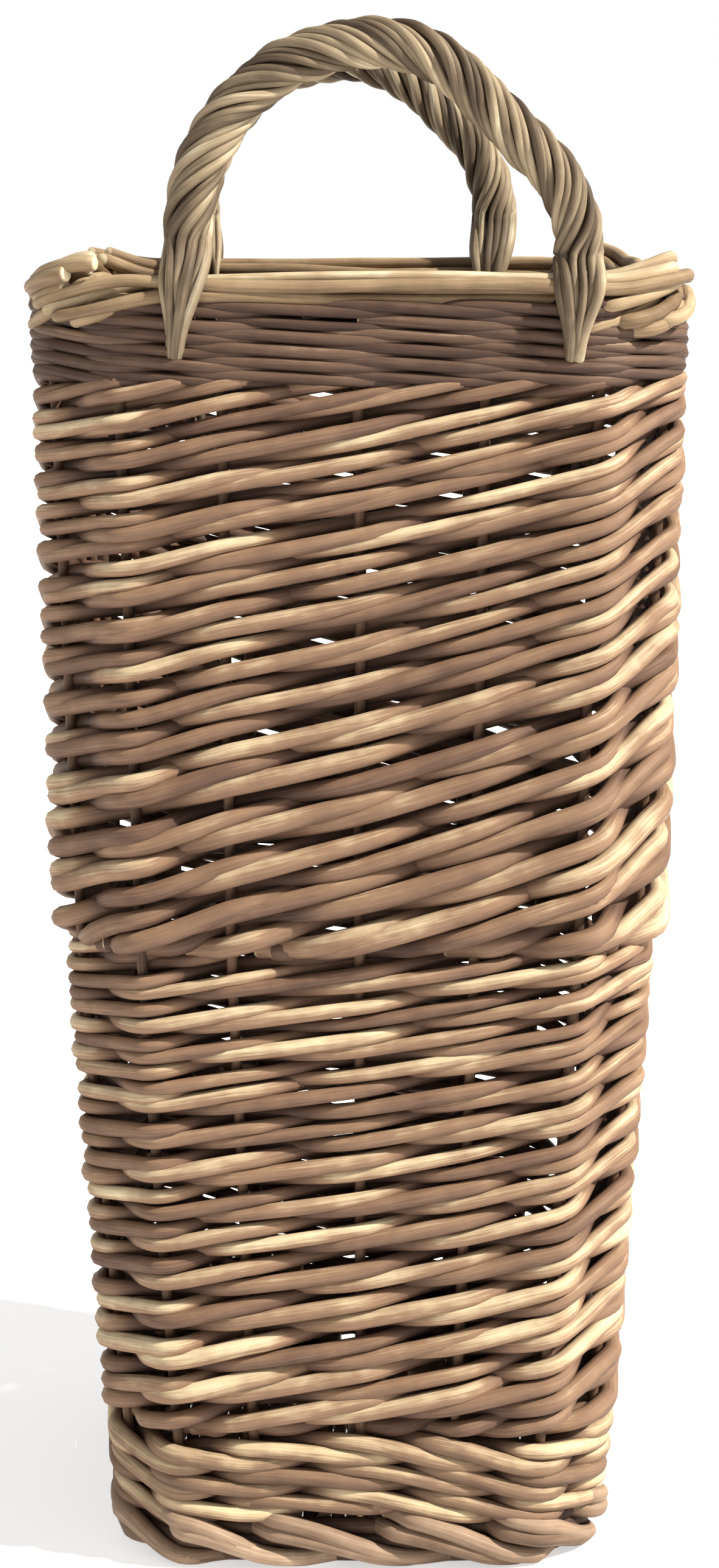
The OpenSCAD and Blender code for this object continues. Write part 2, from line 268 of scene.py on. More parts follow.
def soften(path: Array, passes: int) -> Array:
    """Returns paths whose inner points have moved halfway to their neighbours' middle."""
    for _ in range(passes):
        path[:, 1:-1] = path[:, 1:-1] * 0.5 + (path[:, :-2] + path[:, 2:]) * 0.25
    return path


def upright(flat: Array, z: Array) -> Array:
    """Returns points or directions in space from their x and y and their height."""
    return np.concatenate([flat, z[..., None]], axis=-1)


def finish_piece(
    piece: bpy.types.Object, finish: "Willow", node: str
) -> None:
    """Dresses a piece, rides it on the basket's one body, hides the frame part that it stands for
    and logs its faces.
    """
    piece.data.materials.append(finish.value.material())
    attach(piece, BODY)
    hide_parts(node)
    LOG.info("%s: %d faces", piece.name, len(piece.data.polygons))


def finish_parts(
    tubes: Tubes, parts: int, label: str, finish: "Willow", node: str
) -> None:
    """Makes a bundle's pieces, named by the label with their number in place of its braces."""
    for number, part in enumerate(tubes.split(parts)):
        finish_piece(part.mesh(label.format(number + 1)), finish, node)


# ---- finishes


def linear(hex_colour: str) -> tuple[float, float, float, float]:
    """Returns an sRGB hex colour as linear red, green, blue and alpha."""
    parts = [int(hex_colour[i:i + 2], 16) / 255.0 for i in (1, 3, 5)]
    red, green, blue = [p / 12.92 if p <= 0.04045 else ((p + 0.055) / 1.055) ** 2.4 for p in parts]
    return red, green, blue, 1.0


def add(tree: Any, kind: str, settings: dict[str, Any], inputs: dict[Any, Any]) -> Any:
    """Adds a node to a tree.

    Args:
        tree: The material's node tree.
        kind: The node's type name.
        settings: Properties to set on the node.
        inputs: Socket name or number to a value, or to another node's output.

    Returns:
        The new node.
    """
    made = tree.nodes.new(kind)
    for name, value in settings.items():
        setattr(made, name, value)
    for key, value in inputs.items():
        if isinstance(value, bpy.types.NodeSocket):
            tree.links.new(value, made.inputs[key])
        else:
            made.inputs[key].default_value = value
    return made


def fresh_material(name: str) -> bpy.types.Material:
    """Returns a new node material with an empty tree."""
    made = bpy.data.materials.new(name)
    made.use_nodes = True
    made.node_tree.nodes.clear()
    return made


@dataclass(frozen=True)
class WillowFinish:
    """Willow rods with their bark on: streaked along the rod, browner in the hollows with painted
    shade and paler on their lit edges with a painted highlight.

    The bark is matt, with fine lengthwise wrinkles and a sheen only where it is worn.
    """

    name: str
    dark_and_shade: str
    middle: str
    straw: str
    pale_and_highlight: str
    cut: str = "#d9c39c"
    # Places of the four colours from the darkest, used for painted shade, to the palest, used for
    # the painted highlight, and what moves a point along them
    stops: tuple[float, ...] = (0.08, 0.38, 0.68, 0.95)
    tone_share: float = 0.30
    # How far the painted light moves a point along the colours
    painted_light_share: float = 0.50
    patch_share: float = 0.55
    streak_share: float = 0.45
    start: float = -0.45
    lift: float = 0.0
    # Roughness of the wrinkles' hollows and of their crests
    hollow_roughness: float = 0.74
    crest_roughness: float = 0.54
    streak_mm: float = 1.1
    streak_length_mm: float = 26.0
    patch_mm: float = 34.0
    bump_mm: float = 0.4
    bump_strength: float = 0.7

    def material(self) -> bpy.types.Material:
        """Returns this finish's material, made once."""
        known = bpy.data.materials.get(self.name)
        if known:
            return known
        made = fresh_material(self.name)
        tree = made.node_tree
        grain, tone, painted_light, cut = (
            add(tree, "ShaderNodeAttribute", {"attribute_name": label}, {})
            for label in ("grain", "tone", "painted_light", "cut"))
        across = 1.0 / (self.streak_mm * MM)
        lengthwise = 1.0 / (self.streak_length_mm * MM)
        drawn = add(tree, "ShaderNodeVectorMath", {"operation": "MULTIPLY"},
                    {0: grain.outputs["Vector"], 1: (across, across, lengthwise)})
        streak = add(tree, "ShaderNodeTexNoise", {},
                     {"Vector": drawn.outputs[0], "Scale": 1.0, "Detail": 4.0, "Roughness": 0.65})
        patch = add(tree, "ShaderNodeTexNoise", {},
                    {"Vector": grain.outputs["Vector"], "Scale": 1.0 / (self.patch_mm * MM),
                     "Detail": 3.0, "Roughness": 0.6})
        total = self.start + self.lift
        # The painted light moves a point up the ramp: painted highlight towards the pale stops,
        # painted shade towards the dark ones
        for source, share in ((tone, self.tone_share), (painted_light, self.painted_light_share),
                              (patch, self.patch_share), (streak, self.streak_share)):
            total = add(tree, "ShaderNodeMath", {"operation": "MULTIPLY_ADD"},
                        {0: source.outputs["Fac"], 1: share, 2: total}).outputs[0]
        ramp = add(tree, "ShaderNodeValToRGB", {}, {"Fac": total})
        elements = ramp.color_ramp.elements
        elements[0].position, elements[1].position = self.stops[0], self.stops[-1]
        for position in self.stops[1:-1]:
            elements.new(position)
        for element, colour in zip(elements, (self.dark_and_shade, self.middle, self.straw, self.pale_and_highlight)):
            element.color = linear(colour)
        with_cut = add(tree, "ShaderNodeMix", {"data_type": "RGBA"},
                       {0: cut.outputs["Fac"], 6: ramp.outputs["Color"], 7: linear(self.cut)})
        bump = add(tree, "ShaderNodeBump", {},
                   {"Height": streak.outputs["Fac"], "Distance": self.bump_mm * MM,
                    "Strength": self.bump_strength})
        rough = add(tree, "ShaderNodeMapRange", {},
                    {"Value": streak.outputs["Fac"], "From Min": 0.3, "From Max": 0.7,
                     "To Min": self.hollow_roughness, "To Max": self.crest_roughness})
        skin = add(tree, "ShaderNodeBsdfPrincipled", {},
                   {"Base Color": with_cut.outputs[2], "Roughness": rough.outputs[0],
                    "Normal": bump.outputs[0], "IOR": 1.45})
        skin.inputs["Specular IOR Level"].default_value = 0.35
        add(tree, "ShaderNodeOutputMaterial", {}, {"Surface": skin.outputs[0]})
        return made


class Willow(Enum):
    """The willow finishes on the basket."""

    # Brown willow, dried with its bark on: mauve-brown with painted shade where it recedes, and a
    # painted straw highlight where it bows out to the light
    SIDING = WillowFinish(
        "brown_willow_siding", "#38251c", "#634a3c", "#8d7058", "#dccaa6", lift=0.09)
    # Thinner brown willow of the wales, darker than the siding
    WALE = WillowFinish(
        "brown_willow_wale", "#2e1f17", "#553e31", "#806650", "#d2bd98", lift=0.06)
    # The thin rods under the border, the darkest on the basket
    TOP_WALE = WillowFinish(
        "dark_willow_top_wale", "#231610", "#432f25", "#664f40", "#b49a80", lift=-0.08)
    # Stakes: brown willow, in colours darkened with painted shade from the rods around them
    STAKE = WillowFinish(
        "brown_willow_stake", "#35241a", "#5a4232", "#7d604c", "#9d8068", lift=0.08)
    # Pale buff willow of the border and the foot
    PALE = WillowFinish(
        "buff_willow", "#453424", "#80694f", "#ae9878", "#eadfc2", cut="#d9c9a8", lift=0.06)
    # Foot rods: buff willow scuffed grey by the floor
    FOOT = WillowFinish(
        "scuffed_buff_willow", "#3a2a20", "#6d5644", "#9c846e", "#d2bf9f", cut="#dccbb0", lift=0.06)
    # Handle wrapping: willow weathered olive-grey
    HANDLE = WillowFinish(
        "weathered_olive_willow", "#2b2018", "#5f503f", "#9d8c72", "#e8dcc0", lift=0.06,
        tone_share=0.42)


# ---- the wall


def top_of(node: str) -> float:
    """Returns the height of a node's top, in millimetres."""
    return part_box(node)[1][2] / MM


def foot_of(node: str) -> float:
    """Returns the height of a node's underside, in millimetres."""
    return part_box(node)[0][2] / MM


def half_of(node: str) -> float:
    """Returns half of a node's width, in millimetres."""
    low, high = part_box(node)
    return (high[0] - low[0]) / 2 / MM


@dataclass
class Wall:
    """The leaning wall that everything is woven on, measured from the frame in millimetres."""

    thickness: float = 18.5
    stake_d: float = 5.4
    plan: Plan = field(default_factory=lambda: Plan(64.0, 1.76))
    # The wall's straight run above the top wale
    above: float = 60.0
    # Stakes of each side, as x over the half-width, seen from outside: the first and the last
    # are half of a corner's pair
    front: tuple[float, ...] = (-0.76, -0.44, 0.0, 0.40, 0.76)
    right: tuple[float, ...] = (-0.76, -0.46, 0.02, 0.46, 0.76)
    back: tuple[float, ...] = (-0.76, -0.42, 0.0, 0.44, 0.76)
    left: tuple[float, ...] = (-0.76, -0.46, -0.02, 0.45, 0.76)
    heights: Array = field(init=False)
    halves: Array = field(init=False)
    stake_share: Array = field(init=False)
    stake_place: Array = field(init=False)

    def __post_init__(self) -> None:
        """Reads the wall's middle line from the woven blocks' boxes."""
        half_t = self.thickness / 2
        wale_top, waist, top = top_of("bottom_wale"), top_of("lower_siding"), top_of("top_wale")
        wale_half = half_of("bottom_wale") - half_t
        waist_half = half_of("lower_siding") - half_t
        slope = (waist_half - wale_half) / (waist - wale_top)
        self.heights = np.array([0.0, waist, top, top + self.above])
        top_half = half_of("top_wale") - half_t
        upper_slope = (top_half - waist_half) / (top - waist)
        self.halves = np.array([wale_half - slope * wale_top, waist_half, top_half,
                                top_half + self.above * upper_slope])
        places = [
            self.plan.share_of(side, x)
            for side, xs in enumerate((self.front, self.right, self.back, self.left))
            for x in xs
        ]
        self.stake_share = np.array([*places, places[0] + 1.0])
        self.stake_place = self.plan.at(self.stake_share)[0]

    def lift(self, gap: Array) -> Array:
        """Returns how far a rod strays from its even climb, -1 to 1.

        Each half turn it runs nearly level round one corner and climbs steeply round the next.
        """
        half_turn = np.mod(self.share(gap) * 2.0, 1.0)
        return np.interp(half_turn, (0.0, 0.055, 0.25, 0.445, 0.555, 0.945, 1.0),
                         (0.0, -0.5, -0.7, -0.7, 1.0, 0.5, 0.0))

    def half(self, z: Array) -> Array:
        """Returns the half-width of the wall's middle line at height z."""
        return np.interp(z, self.heights, self.halves)

    def share(self, gap: Array) -> Array:
        """Returns the share of the way round at a place counted in stakes."""
        turns = np.floor(gap / STAKES)
        return turns + np.interp(gap - turns * STAKES, np.arange(STAKES + 1), self.stake_share)

    def place(self, gap: Array, z: Array, out: Array) -> tuple[Array, Array]:
        """Returns points on the wall and their outward directions.

        The point is on the straight line between its two stakes, times the half-width, plus
        the plan's outward normal times out.
        """
        normal = self.plan.at(self.share(gap))[1]
        turn = np.mod(gap, STAKES)
        flat = np.stack([np.interp(turn, np.arange(STAKES + 1), column)
                         for column in self.stake_place.T], axis=-1)
        xy = flat * self.half(z)[..., None] + normal * np.asarray(out)[..., None]
        return upright(xy, z), upright(normal, np.zeros_like(z))

    def arching(self, gap: Array) -> Array:
        """Returns the squared sine that is 0 at the corners and 1 in the middle of each side."""
        return np.sin(math.pi * np.mod(self.share(gap) * 4.0, 1.0)) ** 2


@dataclass(frozen=True)
class Stroke:
    """How a rod passes the stakes: behind one at phase 0, in front of two from 1 to 2."""

    # How far it bows out between the two stakes that it passes in front of
    bow: float = 0.10
    # Where on its way out the painted highlight begins: further back the rod is in painted shade
    shade: float = -0.2

    def weave(self, phase: Array) -> Array:
        """Returns a rod's side of the stakes: -1 behind them and 1 in front."""
        way = np.minimum(np.minimum(phase, STROKE - phase), 1.0)
        bow = self.bow * np.sin(math.pi * np.clip(phase - 1.0, 0.0, 1.0))
        return -np.cos(math.pi * way) + bow

    def swing(self, phase: Array) -> Array:
        """Returns its rise and fall, -1 to 1: it climbs while it is in front."""
        return np.sin(2 * math.pi * (phase / STROKE - 0.5))

    def painted_light(self, phase: Array) -> Array:
        """Returns its painted light: 0, painted shade, behind the stakes and 1, painted highlight,
        in front.
        """
        return smooth((self.weave(phase) - self.shade) / (1.0 - self.shade))


STROKES = Stroke()


# ---- siding


@dataclass
class Siding:
    """A block of siding: tapering rods that start one after another and climb together.

    Each rod goes in front of two stakes and behind the next, one stake further on than the
    rod above it. Rods lie a spacing apart that shrinks from butt to tip, so a rod's height
    follows z = z0 + (s0 / k) (1 - exp(-n k t)) for t turns, with k the spacing's fall per mm.
    """

    wall: Wall
    node: str
    rods: int
    butt_spacing: float
    tip_spacing: float
    butt_d: float
    tip_d: float
    proud: float
    lean_in: float
    seed: int
    pieces: int
    tuck: float
    corner_lift: float
    sag: float = 2.0
    points_per_gap: int = 16
    # Height of the first rod's middle and depth of the last one's, over their diameters
    butt_height: float = 0.34
    tip_depth: float = 0.35
    # Length before a rod's first stake, and how much slower it climbs there
    early_gaps: float = 0.35
    early_climb: float = 0.25
    start_spread: float = 0.2
    # Share of the block over which the corners' steepening sets in at its top and bottom
    lift_in: float = 1.0 / 6.0
    # Rise and fall of each stroke and waviness, over the rods' spacing
    swing: float = 0.10
    wave: float = 0.10
    # How close a rod hugs the stakes, and how much it strays from there
    reach: float = 0.97
    stray: float = 0.5
    # Length over which an end comes out from behind its neighbours, and how deep it is there
    end_gaps: float = 0.7
    end_reach: float = -0.8
    # Painted light at an end where it comes out from behind its neighbours, the rest of it painted
    # shade
    end_painted_light: float = 0.75

    def bundle(self) -> Tubes:
        """Works out every rod of the block."""
        rng = np.random.default_rng(self.seed)
        z0 = foot_of(self.node) + self.butt_d * self.butt_height
        z1 = top_of(self.node) + self.tuck - self.tip_d * self.tip_depth
        fall = (self.butt_spacing - self.tip_spacing) / (z1 - z0)
        turns = math.log(self.butt_spacing / self.tip_spacing) / (self.rods * fall)
        early = self.early_gaps / STAKES
        count = int((turns + early) * STAKES * self.points_per_gap)
        turn = np.broadcast_to(np.linspace(-early, turns, count), (self.rods, count))
        number = np.arange(self.rods)[:, None]
        start = number * STAKES / self.rods
        start = start + rng.uniform(-self.start_spread, self.start_spread, (self.rods, 1))
        gap = start + turn * STAKES
        phase = np.mod(gap - number, STROKE)
        climbed = np.maximum(turn, turn * self.early_climb)
        z = z0 + self.butt_spacing / fall * (1.0 - np.exp(-self.rods * fall * climbed))
        share = np.clip((z - z0) / (z1 - z0), 0.0, 1.0)
        spacing = lerp(self.butt_spacing, self.tip_spacing, share)
        inner = smooth(share / self.lift_in) * smooth((1.0 - share) / self.lift_in)
        z = z - self.sag * self.wall.arching(gap) * np.sin(math.pi * share)
        z = z + self.corner_lift * inner * self.wall.lift(gap)
        z = z + spacing * self.swing * STROKES.swing(phase)
        z = z + slow_noise(rng, gap, 1.6) * spacing * self.wave
        radius = lerp(self.butt_d, self.tip_d, share) / 2
        radius = radius * uneven(rng, gap, (0.92, 1.12), ripple=0.04, knot=0.7)
        reach = (self.wall.stake_d / 2 + radius) * self.reach
        out = STROKES.weave(phase) * reach + slow_noise(rng, gap, 1.3) * self.stray
        end = self.end_gaps / STAKES
        ends = smooth((turn + early) / end) * smooth((turns - turn) / end)
        out = np.where(out > 0, lerp(self.end_reach * reach, out, ends), out)
        out = out + lerp(self.proud, self.lean_in, share)
        centres, normal = self.wall.place(gap, z, out)
        # Painted highlight in front of the stakes, painted shade behind them and at the ends, of
        # random strength along each rod
        painted_light = STROKES.painted_light(phase) * lerp(self.end_painted_light, 1.0, ends)
        painted_light = painted_light * (0.85 + 0.2 * slow_noise(rng, gap, 1.4))
        return Tubes(soften(centres, 1), radius, normal, rng.uniform(0.0, 1.0, self.rods), painted_light)

    def build(self) -> None:
        """Makes the block's pieces."""
        finish_parts(self.bundle(), self.pieces, self.node + "_rods_{:02d}", Willow.SIDING,
                     self.node)


# ---- wales


@dataclass
class Wale:
    """A band of waling: rods in threes that climb one row a turn, twisting round the stakes.

    Each rod goes in front of two stakes and behind one. It comes forward over the other two
    and sinks under them, so its height swings by minus sin of its place in the stroke.
    """

    wall: Wall
    node: str
    rows: int
    rod_d: float
    proud: float
    seed: int
    finish: Willow = Willow.WALE
    arch: float = 0.0
    above: float = 0.0
    corner_lift: float = 0.0
    points_per_gap: int = 12
    rods_per_row: int = 3
    # Length by which a rod's end laps its start, and how far round each row starts after the last
    lap: float = 0.6
    start_step: float = 5.0
    # Rise and fall of each stroke and waviness, over the rows' pitch
    swing: float = 0.31
    wave: float = 0.07
    reach: float = 0.95
    # How much deeper an end lies, over the rod's radius
    end_depth: float = 0.6

    def bundle(self) -> Tubes:
        """Works out the rods of each row, each a turn long and a little more."""
        rng = np.random.default_rng(self.seed)
        low, high = foot_of(self.node), top_of(self.node) + self.above
        pitch = (high - low) / self.rows
        rods = self.rods_per_row * self.rows
        length = STAKES + self.lap
        count = int(length * self.points_per_gap)
        row = np.repeat(np.arange(self.rows), self.rods_per_row)[:, None]
        start = row * self.start_step + np.tile(np.arange(self.rods_per_row), self.rows)[:, None]
        run = np.linspace(0.0, length, count)
        gap = start + run
        phase = np.mod(run + row, STROKE)
        z = low + pitch * (row + 0.5) + self.arch * (self.wall.arching(gap) - 0.5)
        z = z + self.corner_lift * self.wall.lift(gap)
        z = z - pitch * self.swing * STROKES.swing(phase)
        z = z + slow_noise(rng, gap, 1.2) * pitch * self.wave
        radius = self.rod_d / 2 * uneven(rng, gap, (0.9, 1.08), ripple=0.05, knot=0.8)
        out = STROKES.weave(phase) * (self.wall.stake_d / 2 + radius) * self.reach + self.proud
        ends = smooth(run[None] * 2)
        ends = ends * ends[:, ::-1]
        out = out - (1.0 - ends) * radius * self.end_depth
        centres, normal = self.wall.place(gap, z, out)
        tone = rng.uniform(0.0, 1.0, rods)
        # Its painted light is a painted highlight in front of the stakes and painted shade behind
        # them
        return Tubes(soften(centres, 3), radius, normal, tone, STROKES.painted_light(phase))

    def build(self) -> None:
        """Makes the wale's pieces, one for each row."""
        finish_parts(self.bundle(), self.rows, self.node + "_row_{}", self.finish,
                     self.node)


# ---- stakes


@dataclass
class Stakes:
    """The twenty uprights, from the foot of the weave to the border."""

    wall: Wall
    points: int = 90
    # How far a stake strays from its place, in gaps, and how much its thickness varies
    stray: float = 0.012
    ripple: float = 0.05
    # Even strength of the painted highlight on the stakes' upper edges
    painted_highlight: float = 0.4

    def build(self) -> None:
        """Makes one piece of stakes for each side and one for the corners."""
        rng = np.random.default_rng(SEED + 7)
        low, high = foot_of("corner_stakes"), top_of("corner_stakes")
        groups = {
            "corner_stakes": [n for n in range(STAKES) if n % SIDE_STAKES in (0, 4)],
            "front_stakes": [1, 2, 3], "right_stakes": [6, 7, 8],
            "back_stakes": [11, 12, 13], "left_stakes": [16, 17, 18],
        }
        for node, numbers in groups.items():
            rods = len(numbers)
            z = np.broadcast_to(np.linspace(low, high, self.points), (rods, self.points))
            gap = np.array(numbers, dtype=float)[:, None] + slow_noise(rng, z, 90.0) * self.stray
            centres, normal = self.wall.place(gap, z, np.zeros_like(z))
            radius = self.wall.stake_d / 2 * (1.0 + self.ripple * slow_noise(rng, z, 40.0))
            # The stakes' painted highlight, even all along
            painted_light = np.full_like(z, self.painted_highlight)
            tubes = Tubes(centres, radius, normal, rng.uniform(0, 1, rods), painted_light)
            finish_piece(tubes.mesh(node + "_rods"), Willow.STAKE, node)


# ---- border


@dataclass
class Border:
    """The laid border: the stakes' own tops, laid down along the rim one side at a time.

    A side's rods start outside and low before a corner, fan up round it, lie side by side
    along the rim and end past the next corner, over the next side's rods.
    """

    wall: Wall
    plan: Plan = field(default_factory=lambda: Plan(16.0, 1.9))
    rod_d: float = 7.2
    # Each rod's place in the bundle: outwards and up, over the rod's size
    slots: tuple[tuple[float, float], ...] = (
        (0.95, -0.75), (1.0, 0.25), (0.05, 0.75), (-0.9, 0.3), (0.1, -0.3), (-0.8, -0.7))
    # Where the rods start and end, as shares of a side from its corners
    start: tuple[float, float] = (-0.17, 0.0)
    end: tuple[float, float] = (1.0, 1.07)
    fall: float = 15.0
    rise: float = 8.0
    # How far the bundle rolls over along one side, in radians, and how far it strays from that
    roll: float = 1.7
    stray: float = 0.5
    # Lengths, as shares of a side, over which a rod comes up, comes out and goes over the next
    rise_length: float = 0.24
    out_length: float = 0.05
    over_length: float = 0.16
    over_start: float = 0.9
    over_out: float = 3.0
    # How far apart the slots are across and up, over a rod's size
    width: float = 0.92
    height: float = 0.8
    # Distance of the bundle's middle from the border's outer face, over a rod's size
    inset: float = 1.35
    # How far below the border's foot a rod may start
    below: float = 12.0
    wave: float = 0.7
    taper: tuple[float, float] = (0.9, 1.06)
    points: int = 120

    def bundle(self, side: int) -> Tubes:
        """Works out one side's rods.

        Args:
            side: 0 for the front, then anticlockwise.

        Returns:
            The rods, each at its slot, lowered where it starts and raised where it ends.
        """
        rng = np.random.default_rng(SEED + 11 + side)
        across, above = np.array(self.slots).T[:, :, None]
        rods = len(across)
        low, high = foot_of("border_front"), top_of("border_front")
        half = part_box("border_right")[1][0] / MM - self.rod_d * self.inset
        first = np.linspace(*self.start, rods)[rng.permutation(rods), None]
        last = np.linspace(*self.end, rods)[rng.permutation(rods), None]
        step = np.linspace(0.0, 1.0, self.points)[None]
        along = lerp(first, last, step)
        risen = smooth((along - first) / self.rise_length)
        over = smooth((along - self.over_start) / self.over_length)
        turn = self.stray * slow_noise(rng, along, 0.45) + self.roll * (along - 0.5)
        size = self.rod_d * self.width
        out = (across * np.cos(turn) + above * np.sin(turn)) * size
        up = (above * np.cos(turn) - across * np.sin(turn)) * size * self.height
        z = high - self.rod_d + up - self.fall * (1.0 - risen) + self.rise * over
        out = lerp(self.rod_d * 0.9 + 0.2 * out, out, risen) + self.over_out * over
        out = lerp(-self.rod_d, out, smooth((along - first) / self.out_length))
        z = np.maximum(z + self.wave * slow_noise(rng, along, 0.16), low - self.below)
        flat, normal = self.plan.at((side + along) / 4)
        centres = upright(flat * half + normal * out[..., None], z)
        radius = self.rod_d / 2 * uneven(rng, along, (0.84, 1.12), ripple=0.07, knot=0.11)
        radius = radius * lerp(*self.taper, step)
        # Painted highlight, stronger on the rods that lie higher in the bundle
        painted_light = np.broadcast_to(0.55 + 0.45 * np.clip(above + 0.3, 0, 1), z.shape)
        return Tubes(centres, radius, upright(normal, np.zeros_like(z)),
                     rng.uniform(0.0, 1.0, rods), painted_light, 12)

    def build(self) -> None:
        """Makes the border's four sides."""
        for side, node in enumerate(("border_front", "border_right", "border_back", "border_left")):
            piece = self.bundle(side).mesh(node + "_rods")
            finish_piece(piece, Willow.PALE, node)


# ---- foot and base


@dataclass
class Foot:
    """The foot border: pairs of thick rods that slope down to the floor, over two level rows."""

    wall: Wall
    rod_d: float = 9.4
    pairs_per_side: int = 4
    points: int = 46
    # A sloping rod's length and its start before the corner, in gaps
    length: float = 2.5
    early: float = 0.3
    # How far above the bottom wale's foot its top lies, and how much lower a pair's second rod
    above: float = 1.5
    second_lower: float = 0.85
    # Its distance outwards on the slope, how much it bulges there, and the depth of its tip
    out: float = 7.5
    bulge: float = 1.5
    tip_in: float = 3.0
    # The level rods' heights, distances outwards, radius and lap
    level_z: tuple[float, ...] = (4.6, 12.6, 20.6, 4.6, 12.6)
    level_out: tuple[float, ...] = (-1.5, 0.5, 0.0, -9.5, -8.5)
    level_r: float = 4.3
    level_lap: float = 0.3

    def sloping(self, side: int, rng: np.random.Generator) -> Tubes:
        """Works out one side's sloping rods: a smooth fall, and then a run tucked under."""
        rods = 2 * self.pairs_per_side
        step = np.linspace(0.0, 1.0, self.points)[None] + np.zeros((rods, 1))
        number = np.arange(rods)[:, None]
        pair, second = number // 2, number % 2
        start = side * SIDE_STAKES + pair * SIDE_STAKES / self.pairs_per_side - self.early
        start = start + rng.uniform(-0.12, 0.12, (rods, 1))
        gap = start + step * self.length
        thick = self.rod_d * rng.uniform(0.88, 1.08, (rods, 1)) * lerp(1.0, 0.8, step)
        high = foot_of("bottom_wale") + self.above - second * self.rod_d * self.second_lower
        fall = smooth(step * 1.35)
        z = np.maximum(lerp(high, thick / 2 + 0.5 - second, fall), thick / 2)
        bulge = self.bulge * np.sin(math.pi * np.clip(step * 1.6, 0, 1))
        out = lerp(self.out + bulge, -self.tip_in - second * 4.0, smooth(step * 2.2 - 1.1))
        out = lerp(-2.0, out, smooth(step * 8.0))
        centres, normal = self.wall.place(gap, z, out)
        # Painted highlight of even strength
        painted_light = np.full_like(z, 0.6)
        return Tubes(centres, thick / 2, normal, rng.uniform(0.1, 1.0, rods), painted_light, 12)

    def level(self, side: int, rng: np.random.Generator) -> Tubes:
        """Works out one side's level rods, behind the sloping ones."""
        z, out = np.array([self.level_z, self.level_out])[:, :, None]
        rods = len(z)
        step = np.linspace(0.0, 1.0, self.points)[None]
        gap = side * SIDE_STAKES - 0.5 + step * (SIDE_STAKES + self.level_lap)
        gap = gap + np.zeros((rods, 1))
        z = z + slow_noise(rng, gap, 1.5) * 0.4
        radius = np.full_like(gap, self.level_r) * rng.uniform(0.92, 1.05, (rods, 1))
        centres, normal = self.wall.place(gap, z, out + np.zeros_like(gap))
        # A weak painted highlight: these rods lie in painted shade behind the sloping ones
        painted_light = np.full_like(z, 0.2)
        return Tubes(centres, radius, normal, rng.uniform(0.0, 0.5, rods), painted_light, 10)

    def build(self) -> None:
        """Makes the foot's four sides, each a piece of sloping rods and one of level rods."""
        rng = np.random.default_rng(SEED + 17)
        for side, node in enumerate(("foot_front", "foot_right", "foot_back", "foot_left")):
            slope = self.sloping(side, rng).mesh(node + "_sloping_rods")
            finish_piece(slope, Willow.FOOT, node)
            level = self.level(side, rng).mesh(node + "_level_rods")
            finish_piece(level, Willow.WALE, node)


@dataclass
class Base:
    """The woven base: sticks one way, and rods over and under them the other way."""

    wall: Wall
    sticks: int = 6
    stick_d: float = 8.0
    rod_d: float = 7.0
    # The base's outline |x|^n + |y|^n = 1, the rods' share of it, and the outer sticks' place
    edge_power: float = 5.0
    filled: float = 0.93
    outer_stick: float = 0.72
    # Distance between the weaving rods over their size, and how far they wave up and down
    pitch: float = 1.02
    wave: float = 3.4
    points: int = 80

    def build(self) -> None:
        """Makes the base's sticks and its weave."""
        rng = np.random.default_rng(SEED + 23)
        half = half_of("base_weave")
        stick_y = np.linspace(-self.outer_stick, self.outer_stick, self.sticks) * half
        self.layer(rng, "base_sticks", stick_y, self.stick_d, None)
        rows = int(2 * half / (self.rod_d * self.pitch))
        rod_x = np.linspace(-half + self.rod_d / 2, half - self.rod_d / 2, rows)
        self.layer(rng, "base_weave", rod_x, self.rod_d, stick_y)

    def layer(self, rng: np.random.Generator, node: str, across: Array, rod_d: float,
              over: Array | None) -> None:
        """Makes one layer of straight rods, or of rods that wave over and under the sticks.

        Args:
            rng: The source of the rods' unevenness.
            node: The frame's node that the layer stands for.
            across: Each rod's place across the base.
            rod_d: Rod diameter.
            over: The places of the sticks that the rods pass over and under, or None.
        """
        rods = len(across)
        level = (foot_of("base_weave") + top_of("base_weave")) / 2
        half, power = half_of("base_weave"), self.edge_power
        reach = half * (1 - abs(across / half) ** power) ** (1 / power) * self.filled
        run = reach[:, None] * np.linspace(-1.0, 1.0, self.points)[None]
        side = across[:, None] + slow_noise(rng, run, 40.0) * 0.4
        radius = rod_d / 2 * rng.uniform(0.92, 1.05, (rods, 1)) * np.ones_like(run)
        if over is None:
            centres = np.stack([run, side, np.full_like(run, level)], axis=-1)
            finish, slot = Willow.PALE, "pale_willow"
        else:
            sign = np.where(np.arange(rods) % 2 == 0, 1.0, -1.0)[:, None]
            wave = np.cos(math.pi * (run - over[0]) / (over[1] - over[0])) * sign
            centres = np.stack([side, run, level + wave * self.wave], axis=-1)
            finish, slot = Willow.SIDING, "siding_willow"
        guide = np.zeros_like(centres)
        guide[..., 2] = 1.0
        # The last value is an even painted highlight
        tubes = Tubes(centres, radius, guide, rng.uniform(0, 1, rods), np.full_like(run, 0.35))
        finish_piece(tubes.mesh(node + "_rods"), finish, node)


# ---- handles


class End(Enum):
    """Which way a handle faces: its turn about the middle of the basket."""

    FRONT = 0.0
    BACK = math.pi


DIAGONAL = math.sqrt(0.5)


